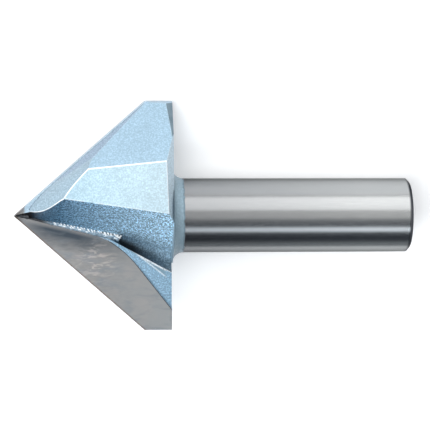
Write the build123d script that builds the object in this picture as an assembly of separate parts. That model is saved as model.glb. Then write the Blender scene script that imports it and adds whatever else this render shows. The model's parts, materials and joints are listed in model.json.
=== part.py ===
from build123d import *
from math import atan2, cos, radians, sin, tan
import os

# V-groove router bit with two brazed carbide blades and a plain round shank.
# Millimetres and degrees.
#
# The bit is worked out with its tip at the origin and its axis along +X, so +X runs from the tip
# to the end of the shank. Its two wings lie in the XY plane. Blade a is on the -Y wing with its
# rake face up, blade b on the +Y wing with its rake face down, half a turn round the axis.
# At the end the whole bit is laid down the way it comes to rest on a bench.

# Turned form
cutting_diameter = 39.2
half_angle = 41.3
rim_length = 4.7
shank_diameter = 12.7
shank_length = 40.8
neck_fillet = 1.9
end_chamfer = 0.5

# Gullet in front of each blade, cut from the tip to the back of the head
root_angle = 13.3
root_offset = 0.32
floor_angle = 57.4
hollow_start = 14.7
hollow_angle = 28.4
hollow_radius_front = 0.6
hollow_radius_back = 2.0
hollow_depth_share = 0.85

# Milled facets on the back of each wing: slopes are rise along the axis and rise outwards
hub_half_height = 9.3
hub_back_bevel = 0.95
hub_rise_back = 0.147
hub_rise_out = 0.061
bevel_rise_back = -2.2
bevel_rise_out = -0.04
heel_thickness = 2.7
heel_rise_back = 0.220
heel_rise_out = -0.696
heel_tail_width = 1.2
heel_tail_rise_back = -0.35
heel_tail_rise_out = -0.78

# Carbide blade
blade_thickness = 2.0
blade_root_angle = 12.6
blade_back_width = 3.3
blade_back_angle = 51.8
blade_inner_radius = 17.0
clearance_angle = 7.0
steel_relief_angle = 15.5
blade_stands_proud = 0.1

# Brazing alloy
braze_gap = 0.12
bead_radius_front = 0.28
bead_radius_back = 0.5
bead_start = 3.2
bead_end = 17.4

# Worked out from the sizes above
cutting_radius = cutting_diameter / 2
shank_radius = shank_diameter / 2
cone_height = cutting_radius / tan(radians(half_angle))
head_length = cone_height + rim_length
overall_length = head_length + shank_length
seat_depth = blade_thickness + braze_gap
hub_back_edge = (head_length - hub_back_bevel, 0, hub_half_height)
reach = 4 * cutting_diameter


def half_turn(shape):
    """The same shape on the other wing."""
    return shape.rotate(Axis.X, 180)


def sloped_plane(point, rise_back, rise_out):
    """A plane through a point, given how it rises towards the shank and towards +Y."""
    return Plane(origin=point, z_dir=(-rise_back, -rise_out, 1))


def head_space():
    """All the space in front of the back of the head."""
    block = Box(reach, reach, reach, align=(Align.MAX, Align.CENTER, Align.CENTER))
    return Pos(head_length, 0, 0) * block


def beyond(plane):
    """All the space on the outer side of a plane, as far back as the back of the head."""
    block = Box(reach, reach, reach, align=(Align.CENTER, Align.CENTER, Align.MIN))
    return plane * block & head_space()


def clearance_planes(inset, height, angle):
    """Planes that fall away behind the cutting edge and the rim edge of the +Y wing."""
    lean = radians(angle)
    edge = radians(half_angle)
    out_of_cone = Vector(-sin(edge), cos(edge), 0)
    out_of_rim = Vector(0, 1, 0)
    outer_corner = Vector(cone_height, cutting_radius, height)
    planes = []
    for outwards in (out_of_cone, out_of_rim):
        origin = outer_corner - outwards * inset
        planes.append(Plane(origin=origin, z_dir=outwards * cos(lean) + Vector(0, 0, sin(lean))))
    return planes


def turned_blank():
    """Head, neck fillet and shank, turned in one piece."""
    cone_setback = blade_stands_proud / sin(radians(half_angle))
    steel_radius = cutting_radius - blade_stands_proud
    steel_corner = cone_setback + steel_radius / tan(radians(half_angle))
    neck_end = head_length + neck_fillet
    outline = [
        Line((cone_setback, 0), (steel_corner, steel_radius)),
        Line((steel_corner, steel_radius), (head_length, steel_radius)),
        Line((head_length, steel_radius), (head_length, shank_radius + neck_fillet)),
        TangentArc(
            (neck_end, shank_radius),
            (head_length, shank_radius + neck_fillet),
            tangent=(-1, 0),
        ),
        Line((neck_end, shank_radius), (overall_length - end_chamfer, shank_radius)),
        Line((overall_length - end_chamfer, shank_radius), (overall_length, shank_radius - end_chamfer)),
        Line((overall_length, shank_radius - end_chamfer), (overall_length, 0)),
        Line((overall_length, 0), (cone_setback, 0)),
    ]
    return revolve(make_face(outline), axis=Axis.X)


def gullet_floor():
    """The floor of the gullet over blade a: it starts beside the tip and climbs to the hub."""
    root = radians(root_angle)
    steep = radians(floor_angle)
    upwards = (-sin(root) * sin(steep), -cos(root) * sin(steep), cos(steep))
    return Plane(origin=(0, root_offset, 0), z_dir=upwards)


def round_taper(start, end, start_radius, end_radius):
    """A round bar between two points that widens from one radius to the other."""
    along = end - start
    sections = [
        Plane(origin=start, z_dir=along) * Circle(start_radius),
        Plane(origin=end, z_dir=along) * Circle(end_radius),
    ]
    return loft(sections)


def hollow():
    """The round, deepening hollow that the cutter leaves beside the land of blade a."""
    land = radians(hollow_angle)
    land_start = Vector(hollow_start, root_offset - hollow_start * tan(radians(root_angle)), 0)
    run = (head_length - hollow_start) / cos(land)
    along = Vector(cos(land), -sin(land), 0)
    across = Vector(sin(land), cos(land), 0)
    centres = []
    for distance, radius in ((0, hollow_radius_front), (run, hollow_radius_back)):
        height = radius * (1 - hollow_depth_share)
        aside = (radius**2 - height**2) ** 0.5
        centres.append(land_start + along * distance + across * aside + Vector(0, 0, height))
    overrun = 1.2
    through = centres[0] + (centres[1] - centres[0]) * overrun
    through_radius = hollow_radius_front + (hollow_radius_back - hollow_radius_front) * overrun
    return round_taper(centres[0], through, hollow_radius_front, through_radius) & head_space()


def gullet():
    """The space in front of blade a, down to its rake plane and the gullet floor."""
    over_rake_plane = Box(reach, reach, reach, align=(Align.CENTER, Align.CENTER, Align.MIN))
    return beyond(gullet_floor()) & over_rake_plane


def hub_facet():
    """The broad flat beside the gullet floor, highest at the back."""
    return sloped_plane(hub_back_edge, hub_rise_back, hub_rise_out)


def heel_cuts():
    """Everything that is milled off the back of the +Y wing."""
    bevel = sloped_plane(hub_back_edge, bevel_rise_back, bevel_rise_out)
    heel = sloped_plane((head_length, cutting_radius, heel_thickness), heel_rise_back, heel_rise_out)
    tail_start = (
        head_length - heel_tail_width,
        cutting_radius,
        heel_thickness - heel_tail_width * heel_rise_back,
    )
    tail = sloped_plane(tail_start, heel_tail_rise_back, heel_tail_rise_out)
    inset = blade_stands_proud
    behind_blade = blade_stands_proud + blade_thickness * tan(radians(clearance_angle))
    reliefs = clearance_planes(inset, 0, clearance_angle)
    reliefs += clearance_planes(behind_blade, blade_thickness, steel_relief_angle)
    return [beyond(plane) for plane in [hub_facet(), bevel, heel, tail] + reliefs]


def blade_face():
    """Outline of blade b on the rake plane, with its round inner edge."""
    leaving = tan(radians(blade_root_angle))
    closing = tan(radians(blade_back_angle))
    inner_back = cutting_radius - blade_back_width
    bend_x = (head_length * closing - inner_back) / (closing - leaving)
    bend = (bend_x, bend_x * leaving)
    face = make_face(
        Polyline(
            (0, 0),
            (cone_height, cutting_radius),
            (head_length, cutting_radius),
            (head_length, inner_back),
            bend,
            close=True,
        )
    )
    corner = face.vertices().sort_by_distance((*bend, 0))[0]
    return fillet(corner, blade_inner_radius)


def make_blade():
    """Blade b: a flat carbide plate, ground back behind its cutting edge and its rim edge."""
    blade = extrude(blade_face(), blade_thickness, dir=(0, 0, 1))
    for plane in clearance_planes(0, 0, clearance_angle):
        blade -= beyond(plane)
    return blade


def make_seat():
    """The pocket that blade b and its brazing alloy fill."""
    outline = offset(blade_face(), braze_gap, kind=Kind.INTERSECTION)
    return extrude(outline, seat_depth, dir=(0, 0, 1))


def make_bead():
    """The bead of brazing alloy in the corner between blade b and its gullet floor."""
    root = radians(root_angle)
    along = Vector(cos(root), sin(root), 0)
    beside_tip = Vector(0, -root_offset, 0)
    start = beside_tip + along * bead_start
    end = beside_tip + along * bead_end
    return round_taper(start, end, bead_radius_front, bead_radius_back)


def resting_plane():
    """The bench under the bit, seen from the bit's own frame.

    The bit rests on the back corner of blade b, on the back corner of the hub below it and on
    the rim of the shank's end, so those three points give the plane.
    """
    steep = tan(radians(floor_angle))
    root = radians(root_angle)
    hub_x = hub_back_edge[0]
    rise_at_axis = (hub_x * sin(root) - root_offset * cos(root)) * steep
    hub_y = (hub_half_height - rise_at_axis) / (cos(root) * steep - hub_rise_out)
    hub_corner = Vector(hub_x, -hub_y, -(hub_half_height + hub_rise_out * hub_y))
    blade_corner = Vector(head_length, cutting_radius, 0)
    rim_x = overall_length - end_chamfer
    roll = 0
    steps_to_settle = 20
    for step in range(steps_to_settle):
        shank_point = Vector(rim_x, shank_radius * sin(roll), -shank_radius * cos(roll))
        up = (shank_point - hub_corner).cross(blade_corner - hub_corner).normalized()
        roll = atan2(-up.Y, up.Z)
    return Plane(origin=hub_corner, x_dir=Vector(1, 0, 0) - up * up.X, z_dir=up)


def lay_down(nodes):
    """Put the bit on the bench: +X along it, the floor at zero, the middle of its box over it."""
    to_bench = resting_plane().location.inverse()
    laid = {name: shape.moved(to_bench) for name, shape in nodes.items()}
    box = Compound([solid for shape in laid.values() for solid in shape.solids()]).bounding_box()
    centre = box.center()
    shift = Pos(-centre.X, -centre.Y, -box.min.Z)
    return {name: shift * shape for name, shape in laid.items()}


# Body
body = turned_blank()
for cut in [gullet(), hollow()] + heel_cuts():
    body -= cut
    body -= half_turn(cut)

# Blade b, its seat and its brazing alloy, then the same for blade a half a turn round
blade_b = make_blade()
seat_b = make_seat()
braze_b = (body & seat_b) - blade_b
body = body - seat_b - half_turn(seat_b)
braze_b = braze_b + (make_bead() - body - blade_b)

nodes = {
    "body": body,
    "carbide_blade_a": half_turn(blade_b),
    "carbide_blade_b": blade_b,
    "braze_seam_a": half_turn(braze_b),
    "braze_seam_b": braze_b,
}

os.makedirs("parts", exist_ok=True)
for name, shape in lay_down(nodes).items():
    export_step(shape, f"parts/{name}.step")
    print(name, round(shape.volume, 1), "mm3", len(shape.solids()), "solid")
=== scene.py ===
# %% [markdown]
# # A V-groove router bit
#
# The real object is a steel body turned and milled from one bar, with two carbide plates brazed to
# its wings. Its head is sprayed light blue and its shank is bare ground steel. The imported CAD model
# gives the exact solids. This lesson adds what the eye sees on them: softened and rubbed ridges with
# painted highlights, painted shade in the gullets, the lumpy bead of brazing alloy, and the finishes.
# The carbide plates keep their CAD meshes, because a ground plate has crisp edges.

# %% Load the fixed frame
import json
from itertools import combinations
from math import cos, pi, radians, sin, tan

import bmesh
import bpy
from mathutils import Matrix, Vector


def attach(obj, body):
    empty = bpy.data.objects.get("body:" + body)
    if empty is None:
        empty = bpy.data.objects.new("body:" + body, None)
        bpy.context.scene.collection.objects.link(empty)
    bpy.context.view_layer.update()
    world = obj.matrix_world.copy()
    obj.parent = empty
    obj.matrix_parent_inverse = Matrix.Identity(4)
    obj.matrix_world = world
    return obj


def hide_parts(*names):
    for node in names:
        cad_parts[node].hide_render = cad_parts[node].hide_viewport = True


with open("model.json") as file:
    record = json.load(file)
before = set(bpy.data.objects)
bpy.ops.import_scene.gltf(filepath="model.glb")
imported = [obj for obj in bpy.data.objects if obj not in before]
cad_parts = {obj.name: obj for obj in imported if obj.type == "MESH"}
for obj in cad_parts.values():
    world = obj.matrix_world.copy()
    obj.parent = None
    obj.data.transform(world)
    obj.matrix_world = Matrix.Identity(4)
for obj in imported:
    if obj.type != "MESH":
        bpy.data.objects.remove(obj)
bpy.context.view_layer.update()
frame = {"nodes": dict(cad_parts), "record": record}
nodes = frame["nodes"]
MM = 0.001
print("loaded", sorted(nodes))

# %% [markdown]
# ## The bit's own directions
#
# The bit lies rolled on the bench, so none of its lines runs along the world's axes. All the
# finishes are easier to place in the bit's own frame: x runs from the tip along the shank, y out
# along the wing towards the top of the picture, z straight out of blade a's flat rake face. The
# record's shank mount gives x, and the blade's own mesh gives the rest.


# %% Find the bit's own frame
shank = frame["record"]["mounts"][0]
bit_x = Vector(shank["axis"]).normalized()
blade_mesh = nodes["carbide_blade_a"].data
SAME_FLAT = 0.02


def flat_face_normal(mesh):
    """The upward normal that the most area shares."""
    areas = {}
    for face in mesh.polygons:
        if face.normal.z > 0:
            key = tuple(round(value, 2) for value in face.normal)
            areas[key] = areas.get(key, 0) + face.area
    widest = Vector(max(areas, key=areas.get))
    total = Vector((0, 0, 0))
    for face in mesh.polygons:
        if (face.normal - widest).length < SAME_FLAT:
            total += face.normal * face.area
    return total.normalized()


bit_z = flat_face_normal(blade_mesh)
bit_z = (bit_z - bit_x * bit_z.dot(bit_x)).normalized()
bit_y = bit_z.cross(bit_x)
middle = Vector(shank["pos_m"])
tip_distance = min((vertex.co - middle).dot(bit_x) for vertex in blade_mesh.vertices)
tip = middle + bit_x * tip_distance
bit_axes = Matrix((bit_x, bit_y, bit_z)).transposed()
to_bit = bit_axes.transposed()


def on_bit(x, y, z):
    """A place given in the bit's own frame, in millimetres."""
    return tip + bit_axes @ (Vector((x, y, z)) * MM)


def in_bit(point):
    """Where a point lies in the bit's own frame, in millimetres."""
    return to_bit @ (point - tip) / MM


print("tip", [round(value, 5) for value in tip], "rake normal", [round(value, 4) for value in bit_z])

# %% [markdown]
# ## Camera
#
# The photo looks almost straight down on the rake face, from about 300 mm, with the tip a few
# degrees nearer to the camera. A camera could be nudged until the pictures look alike. Here its
# place was solved from known corners of the bit instead, so the outline fits everywhere at once.

# %% Place the camera
# Millimetres in the bit's own frame. AIM is the place in the middle of the picture.
CAMERA_DISTANCE = 300
CAMERA_LEAN = radians(4.5)
CAMERA_SPIN = radians(-0.14)
CAMERA_LENS = 146.4
AIM = (34.415, 0.044, 0)

towards_camera = bit_axes @ Vector((-sin(CAMERA_LEAN), 0, cos(CAMERA_LEAN)))
picture_right = bit_axes @ Vector((cos(CAMERA_LEAN), 0, sin(CAMERA_LEAN)))
picture_up = bit_y
camera_data = bpy.data.cameras.new("photo_camera")
camera_data.lens = CAMERA_LENS
camera_data.sensor_width = 36
camera_data.clip_start = 0.01
camera = bpy.data.objects.new("photo_camera", camera_data)
bpy.context.scene.collection.objects.link(camera)
turn = Matrix((picture_right, picture_up, towards_camera)).transposed().to_4x4()
stand = Matrix.Translation(on_bit(*AIM) + towards_camera * CAMERA_DISTANCE * MM)
camera.matrix_world = stand @ turn @ Matrix.Rotation(CAMERA_SPIN, 4, "Z")
bpy.context.scene.camera = camera
print("camera at", [round(value, 4) for value in camera.matrix_world.translation])

# %% [markdown]
# ## Small helpers for the finishes
#
# Every finish is a node material. One function adds a node and feeds it, and one turns a paint
# chart's hex value into linear light. Each material starts with the place on the bit in
# millimetres, so a pattern has its real size and stays with the bit from any side.


# %% Helpers for the nodes
def feed(tree, socket, value):
    """Feed an input by another socket, by a node's live output or by a plain value."""
    if isinstance(value, bpy.types.Node):
        value = next(entry for entry in value.outputs if entry.enabled)
    if isinstance(value, bpy.types.NodeSocket):
        tree.links.new(value, socket)
    else:
        socket.default_value = value


def put(tree, kind, inputs=None, **settings):
    """Add a node with its settings and feed its inputs, each found by its number or its name."""
    node = tree.nodes.new("ShaderNode" + kind)
    for name, value in settings.items():
        setattr(node, name, value)
    for key, value in (inputs or {}).items():
        if isinstance(key, int):
            socket = node.inputs[key]
        else:
            socket = next(entry for entry in node.inputs if entry.name == key and entry.enabled)
        feed(tree, socket, value)
    return node


def feed_shader(tree, inputs):
    """Feed the inputs of a finish's own shader."""
    shader = tree.nodes["Principled BSDF"]
    for name, value in inputs.items():
        feed(tree, shader.inputs[name], value)


def linear(hex_value):
    """An sRGB hex colour as linear red, green, blue and alpha."""
    channels = [int(hex_value[start:start + 2], 16) / 255 for start in (1, 3, 5)]
    light = [c / 12.92 if c <= 0.04045 else ((c + 0.055) / 1.055) ** 2.4 for c in channels]
    return (*light, 1)


print("helpers ready")


# %% Helpers for places on the bit
def start_finish(name):
    """A node material with its tree, and the place on the bit in millimetres, whole and split."""
    material = bpy.data.materials.new(name)
    material.use_nodes = True
    tree = material.node_tree
    coordinates = put(tree, "TexCoord")
    place = put(
        tree,
        "Mapping",
        {
            "Vector": coordinates.outputs["Object"],
            "Location": -(to_bit @ tip) / MM,
            "Rotation": to_bit.to_euler(),
            "Scale": (1 / MM, 1 / MM, 1 / MM),
        },
    )
    apart = put(tree, "SeparateXYZ", {"Vector": place})
    out = put(tree, "Math", {0: apart.outputs["Y"]}, operation="ABSOLUTE")
    return material, tree, place, apart, out


def past_line(tree, apart, out, angle, start=(0, 0), inwards=True):
    """Millimetres past a line that slants outwards from its start, alike on both wings."""
    side = 1 if inwards else -1
    offset = start[0] * sin(angle) - start[1] * cos(angle)
    along_part = put(
        tree,
        "Math",
        {0: apart.outputs["X"], 1: side * sin(angle), 2: -side * offset},
        operation="MULTIPLY_ADD",
    )
    out_part = put(tree, "Math", {0: out, 1: side * cos(angle)}, operation="MULTIPLY")
    return put(tree, "Math", {0: along_part, 1: out_part}, operation="SUBTRACT")


print("places are in millimetres from the tip")

# %% [markdown]
# ## The body as real faces
#
# The CAD model's mesh is loose triangles with knife-sharp ridges. On the real bit every ridge is
# slightly rounded and catches the light as a fine pale line. The ridges could be drawn as a
# colour only, but then they would not shine, so a copy of the body is merged into whole faces and
# its ridges are bevelled. The copy stands for the node.

# %% Merge a copy of the body
MERGE_WITHIN = 0.001 * MM
FLAT_WITHIN = radians(0.5)


def own_copy(node_name, piece_name):
    """A merged copy of a CAD node, its loose triangles joined into whole faces."""
    bpy.ops.object.select_all(action="DESELECT")
    nodes[node_name].select_set(True)
    bpy.context.view_layer.objects.active = nodes[node_name]
    bpy.ops.object.duplicate()
    piece = bpy.context.object
    piece.name = piece_name
    bpy.ops.mesh.customdata_custom_splitnormals_clear()
    bpy.ops.object.mode_set(mode="EDIT")
    bpy.ops.mesh.select_all(action="SELECT")
    bpy.ops.mesh.remove_doubles(threshold=MERGE_WITHIN)
    bpy.ops.mesh.dissolve_limited(angle_limit=FLAT_WITHIN)
    bpy.ops.mesh.normals_make_consistent(inside=False)
    bpy.ops.object.mode_set(mode="OBJECT")
    return piece


body = own_copy("body", "sprayed_body")
print("body faces", len(body.data.polygons))

# %% [markdown]
# ## Naming the facets
#
# The head is a set of milled flats, and the spray lies differently on each. The faces could be
# picked by hand, but a rule also finds them after a change of size. A flat is known by the way it
# faces, written in the bit's own frame for the wing that points up in the picture. The other wing
# is the same half a turn round. The cone and the hollow are round, so they are known by place.

# %% The flats
ROOT_ANGLE = radians(13.3)
ROOT_OFFSET = 0.32
FLOOR_ANGLE = radians(57.4)
HALF_ANGLE = radians(41.3)
RELIEF_ANGLE = radians(15.5)
# The way that each flat faces, as x, y and z in the bit's own frame.
FACETS = {
    "broad_flat": (-0.147, -0.061, 1),
    "back_bevel": (2.2, 0.04, 1),
    "heel": (-0.220, 0.696, 1),
    "heel_tail": (0.35, 0.78, 1),
    "gullet_floor": (
        -sin(ROOT_ANGLE) * sin(FLOOR_ANGLE),
        -cos(ROOT_ANGLE) * sin(FLOOR_ANGLE),
        cos(FLOOR_ANGLE),
    ),
    "relief": (
        -sin(HALF_ANGLE) * cos(RELIEF_ANGLE),
        cos(HALF_ANGLE) * cos(RELIEF_ANGLE),
        sin(RELIEF_ANGLE),
    ),
    "rim_relief": (0, cos(RELIEF_ANGLE), sin(RELIEF_ANGLE)),
    "back": (1, 0, 0),
    "land": (0, 0, 1),
}
print(len(FACETS), "kinds of flat")

# %% The tone of each facet
# Its colour near the tip, its colour near the shank, and how strongly its grain shows. The gullet
# floor's and the hollow's dark tones near the tip, lighter towards the shank, are partly painted
# shade.
TONES = {
    "broad_flat": ("#9DB9C8", "#B0C5CF", 0.2),
    "back_bevel": ("#B6CAD6", "#B6CAD6", 0.2),
    "heel": ("#98B3C5", "#98B3C5", 0.2),
    "heel_tail": ("#42606F", "#42606F", 0.1),
    "gullet_floor": ("#567D9A", "#ACCFE6", 1.0),
    "relief": ("#869BAF", "#869BAF", 0.35),
    "rim_relief": ("#9DB7CC", "#9DB7CC", 0.2),
    "back": ("#93AFC3", "#93AFC3", 0.3),
    "land": ("#86A9C0", "#7F9EB4", 0.45),
    "hollow": ("#5E88A8", "#ACCFE6", 0.6),
    "cone": ("#92A8B6", "#8B9FAF", 0.25),
    "turned": ("#899FAB", "#899FAB", 0.15),
}
facet_names = list(TONES)
print(len(TONES), "tones")

# %% Give each face its facet
SAME_WAY = 0.999
CONE_WITHIN = 0.06
CONE_HEIGHT = 22.3
HEAD_LENGTH = 27.0
HOLLOW_START = 14.7
HOLLOW_ANGLE = radians(28.4)
# How far outwards and how far inwards of the land's edge the hollow's faces lie.
HOLLOW_WIDTH = (-0.5, 4.2)
FACING_BACK = 0.5
LAND_START = (HOLLOW_START, HOLLOW_START * tan(ROOT_ANGLE) - ROOT_OFFSET)


def in_hollow(normal, centre):
    """Whether a face lies in the hollow, beside the land's slanting edge."""
    wing_side = 1 if centre.y < 0 else -1
    edge_y = -LAND_START[1] - (centre.x - HOLLOW_START) * tan(HOLLOW_ANGLE)
    beside_edge = centre.y * wing_side - edge_y
    near_edge = HOLLOW_WIDTH[0] < beside_edge < HOLLOW_WIDTH[1]
    return HOLLOW_START < centre.x < HEAD_LENGTH and near_edge and normal.x < FACING_BACK


def facet_of(normal, centre):
    """The name of the facet that a face belongs to."""
    for name, towards in FACETS.items():
        way = Vector(towards).normalized()
        other_way = Vector((way.x, -way.y, -way.z))
        if max(normal.dot(way), normal.dot(other_way)) > SAME_WAY:
            return name
    if abs(normal.x + sin(HALF_ANGLE)) < CONE_WITHIN and centre.x < CONE_HEIGHT:
        return "cone"
    return "hollow" if in_hollow(normal, centre) else "turned"


facet_numbers = body.data.attributes.new("facet", "INT", "FACE")
counts = dict.fromkeys(facet_names, 0)
for face in body.data.polygons:
    name = facet_of(to_bit @ face.normal, in_bit(face.center))
    facet_numbers.data[face.index].value = facet_names.index(name)
    counts[name] += 1
print("facets", counts)

# %% [markdown]
# ## The web behind the tip
#
# The gullet was milled with a round cutter that swung in behind the tip, so there the gullet floor
# gets steeper and the ridge over it sags towards the blade. The CAD floor is one plane. A new
# piece of surface could be fitted in, but its edges would show. Instead a few cuts across the
# floor give the ridge more points, and each point is turned round the bit's axis, so the cone
# stays a cone and only the floor bends.

# %% Helpers for the web
# Millimetres behind the tip, and the degrees that the ridge is turned there.
WEB_TURNS = [
    (0, 0), (2.0, 7), (2.8, 11), (3.6, 14), (4.5, 14.5),
    (5.4, 12.5), (6.3, 9), (7.2, 5), (7.9, 2), (8.4, 0),
]
WEB_END = 8.4
WEB_FACETS = {"cone", "gullet_floor"}


def web_turn(x):
    """The degrees that the ridge is turned at a distance from the tip."""
    for (before, less), (after, more) in zip(WEB_TURNS, WEB_TURNS[1:]):
        if before <= x <= after:
            return less + (more - less) * (x - before) / (after - before)
    return 0


def facet_layer(mesh):
    """The stored facet numbers of a mesh in edit mode."""
    return mesh.faces.layers.int["facet"]


def select_web_faces(piece):
    """In edit mode, select the cone's and the gullet floors' faces behind the tip."""
    mesh = bmesh.from_edit_mesh(piece.data)
    layer = facet_layer(mesh)
    for face in mesh.faces:
        nearest = min(in_bit(vertex.co).x for vertex in face.verts)
        face.select = facet_names[face[layer]] in WEB_FACETS and nearest < WEB_END
    bmesh.update_edit_mesh(piece.data)


def turn_ridge(piece):
    """In edit mode, turn the points between the cone and a gullet floor round the bit's axis."""
    mesh = bmesh.from_edit_mesh(piece.data)
    layer = facet_layer(mesh)
    turned_points = 0
    for vertex in mesh.verts:
        spot = in_bit(vertex.co)
        touched = {facet_names[face[layer]] for face in vertex.link_faces}
        if web_turn(spot.x) and WEB_FACETS <= touched:
            vertex.co = on_bit(*(Matrix.Rotation(radians(web_turn(spot.x)), 3, "X") @ spot))
            turned_points += 1
    bmesh.update_edit_mesh(piece.data)
    return turned_points


print("web ends at", WEB_END, "mm")

# %% Bend the gullet floor behind the tip
bpy.ops.object.mode_set(mode="EDIT")
bpy.ops.mesh.select_mode(type="FACE")
for station, _ in WEB_TURNS[1:-1]:
    select_web_faces(body)
    bpy.ops.mesh.bisect(plane_co=on_bit(station, 0, 0), plane_no=bit_x)
print("turned", turn_ridge(body), "ridge points")
bpy.ops.object.mode_set(mode="OBJECT")

# %% [markdown]
# ## Rounded ridges
#
# Only the ridges between the head's own facets are rounded. A bevel modifier by angle would also take
# the seats' edges, and those stay crisp, because the carbide and the braze fill them. The ridges
# round the broad flats stand proud, so they are rubbed and painted with a pale highlight, most of all
# on the heel's side. The others are bevelled less and keep their spray.

# %% Which ridges are rubbed
RUBBED_WIDTH = 0.12 * MM
SPRAYED_WIDTH = 0.07 * MM
# How much wear and painted highlight each kind of ridge gets.
RUBBED = {
    ("broad_flat", "cone"): 1.0,
    ("broad_flat", "heel"): 0.9,
    ("cone", "gullet_floor"): 1.0,
    ("hollow", "land"): 1.0,
    ("broad_flat", "gullet_floor"): 0.35,
    ("back_bevel", "broad_flat"): 0.3,
}
SPRAYED_SHARE = 0.12


def ridge_kind(pair):
    """How the ridge between two facets is worked: worn with a painted highlight, sprayed or left as
    it is.
    """
    if pair[0] == pair[1] or "turned" in pair:
        return "plain"
    if tuple(sorted(pair)) in RUBBED:
        return "wear_and_highlight"
    return "plain" if "cone" in pair else "sprayed"


print(len(RUBBED), "kinds of rubbed ridge")

# %% [markdown]
# ## Selecting and marking the ridges
#
# The bevel works on selected edges, so a ridge is selected by the two facets that it parts. After the
# bevel its narrow new faces are the selected ones. Each of them notes how much wear and painted
# highlight its ridge gets, so the finish can brighten the ridges alone.

# %% Helpers for the ridges
RIDGE_TURN = radians(8)
RIDGE_FACE_AREA = 8 * MM * MM


def select_ridges(piece, kind):
    """In edit mode, select the outward ridges of one kind."""
    mesh = bmesh.from_edit_mesh(piece.data)
    layer = facet_layer(mesh)
    chosen = 0
    for edge in mesh.edges:
        edge.select = False
        if len(edge.link_faces) != 2 or edge.calc_face_angle_signed(0) < RIDGE_TURN:
            continue
        if ridge_kind([facet_names[face[layer]] for face in edge.link_faces]) == kind:
            edge.select = True
            chosen += 1
    bmesh.update_edit_mesh(piece.data)
    return chosen


def note_ridges(piece):
    """In edit mode, note on each new narrow face how much wear and painted highlight its ridge gets.
    """
    mesh = bmesh.from_edit_mesh(piece.data)
    layer = facet_layer(mesh)
    ridge_layer = mesh.faces.layers.float["ridge"]
    new = {face for face in mesh.faces if face.select and face.calc_area() < RIDGE_FACE_AREA}
    for face in new:
        near = {other for edge in face.edges for other in edge.link_faces}
        further = {other for inner in near & new for edge in inner.edges for other in edge.link_faces}
        names = sorted({facet_names[other[layer]] for other in (near | further) - new})
        shares = [RUBBED[pair] for pair in combinations(names, 2) if pair in RUBBED]
        face[ridge_layer] = max(shares, default=SPRAYED_SHARE)
    bmesh.update_edit_mesh(piece.data)
    return len(new)


def bevel_ridges(piece, kind, width):
    """In edit mode, bevel one kind of ridge and note how its new faces look."""
    bpy.ops.mesh.select_mode(type="EDGE")
    bpy.ops.mesh.select_all(action="DESELECT")
    chosen = select_ridges(piece, kind)
    bpy.ops.mesh.bevel(offset=width, segments=2, affect="EDGES", clamp_overlap=False)
    print(kind, "ridges", chosen, "new faces", note_ridges(piece))


# %% Bevel the ridges
body.data.attributes.new("ridge", "FLOAT", "FACE")
bpy.ops.object.mode_set(mode="EDIT")
bevel_ridges(body, "wear_and_highlight", RUBBED_WIDTH)
bevel_ridges(body, "sprayed", SPRAYED_WIDTH)
bpy.ops.mesh.select_all(action="SELECT")
bpy.ops.mesh.remove_doubles(threshold=MERGE_WITHIN)
bpy.ops.object.mode_set(mode="OBJECT")
print("body faces", len(body.data.polygons))

# %% [markdown]
# ## Tones kept on the mesh
#
# A mask for each facet could be worked out again in the material, but the mesh knows its facets
# already. So each corner keeps its facet's tone as a colour attribute, with the share of grain as
# its alpha, and a second attribute marks the faces of the gullets.

# %% Store the tones
TONE_FROM = 8.0
TONE_TO = 27.0
GULLET_FACETS = ("gullet_floor", "hollow", "land")


def tone_at(name, point):
    """The facet's tone at a point: it changes from the tip's side to the shank's side."""
    near_tip, near_shank, grain_share = TONES[name]
    start = HOLLOW_START if name == "hollow" else TONE_FROM
    share = min(max((in_bit(point).x - start) / (TONE_TO - start), 0), 1)
    blend = [a + (b - a) * share for a, b in zip(linear(near_tip), linear(near_shank))]
    return (*blend[:3], grain_share)


tones = body.data.attributes.new("tone", "FLOAT_COLOR", "CORNER")
gullet = body.data.attributes.new("gullet", "FLOAT", "FACE")
facet_numbers = body.data.attributes["facet"]
for face in body.data.polygons:
    name = facet_names[facet_numbers.data[face.index].value]
    gullet.data[face.index].value = float(name in GULLET_FACETS)
    for corner in face.loop_indices:
        point = body.data.vertices[body.data.loops[corner].vertex_index].co
        tones.data[corner].color = tone_at(name, point)
print("stored tones on", len(body.data.polygons), "faces")

# %% Smooth the rounded parts and hand the body over
SMOOTH_WITHIN = radians(20)
bpy.ops.object.select_all(action="DESELECT")
body.select_set(True)
bpy.context.view_layer.objects.active = body
bpy.ops.object.shade_smooth_by_angle(angle=SMOOTH_WITHIN)
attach(body, "root")
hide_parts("body")
print(body.name, "stands for the body")

# %% [markdown]
# ## Sprayed head and ground shank
#
# The body is one piece of steel with two finishes. The head was sprayed with a thin light blue
# enamel, up to a ragged line just behind the neck. The shank was ground to size and left bare. One
# material could be given to each half of the mesh, but the ragged line runs across its faces. So
# one material holds both, with a mask along the bit.

# %% Where the paint ends
PAINT_END = 28.9
PAINT_RAGGED = 0.3
RAGGED_SIZE = 0.7
body_finish, tree, place, apart, out = start_finish("sprayed_enamel_and_ground_steel")
along = apart.outputs["X"]
wander = put(tree, "TexNoise", {"Vector": place, "Scale": 1 / RAGGED_SIZE, "Detail": 3})
paint_edge = put(
    tree,
    "MapRange",
    {"Value": wander, "To Min": PAINT_END - PAINT_RAGGED, "To Max": PAINT_END + PAINT_RAGGED},
)
to_edge = put(tree, "Math", {0: paint_edge, 1: along}, operation="SUBTRACT")
painted = put(tree, "MapRange", {"Value": to_edge, "From Min": -0.03, "From Max": 0.06})
print("paint ends at", PAINT_END, "mm")
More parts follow.
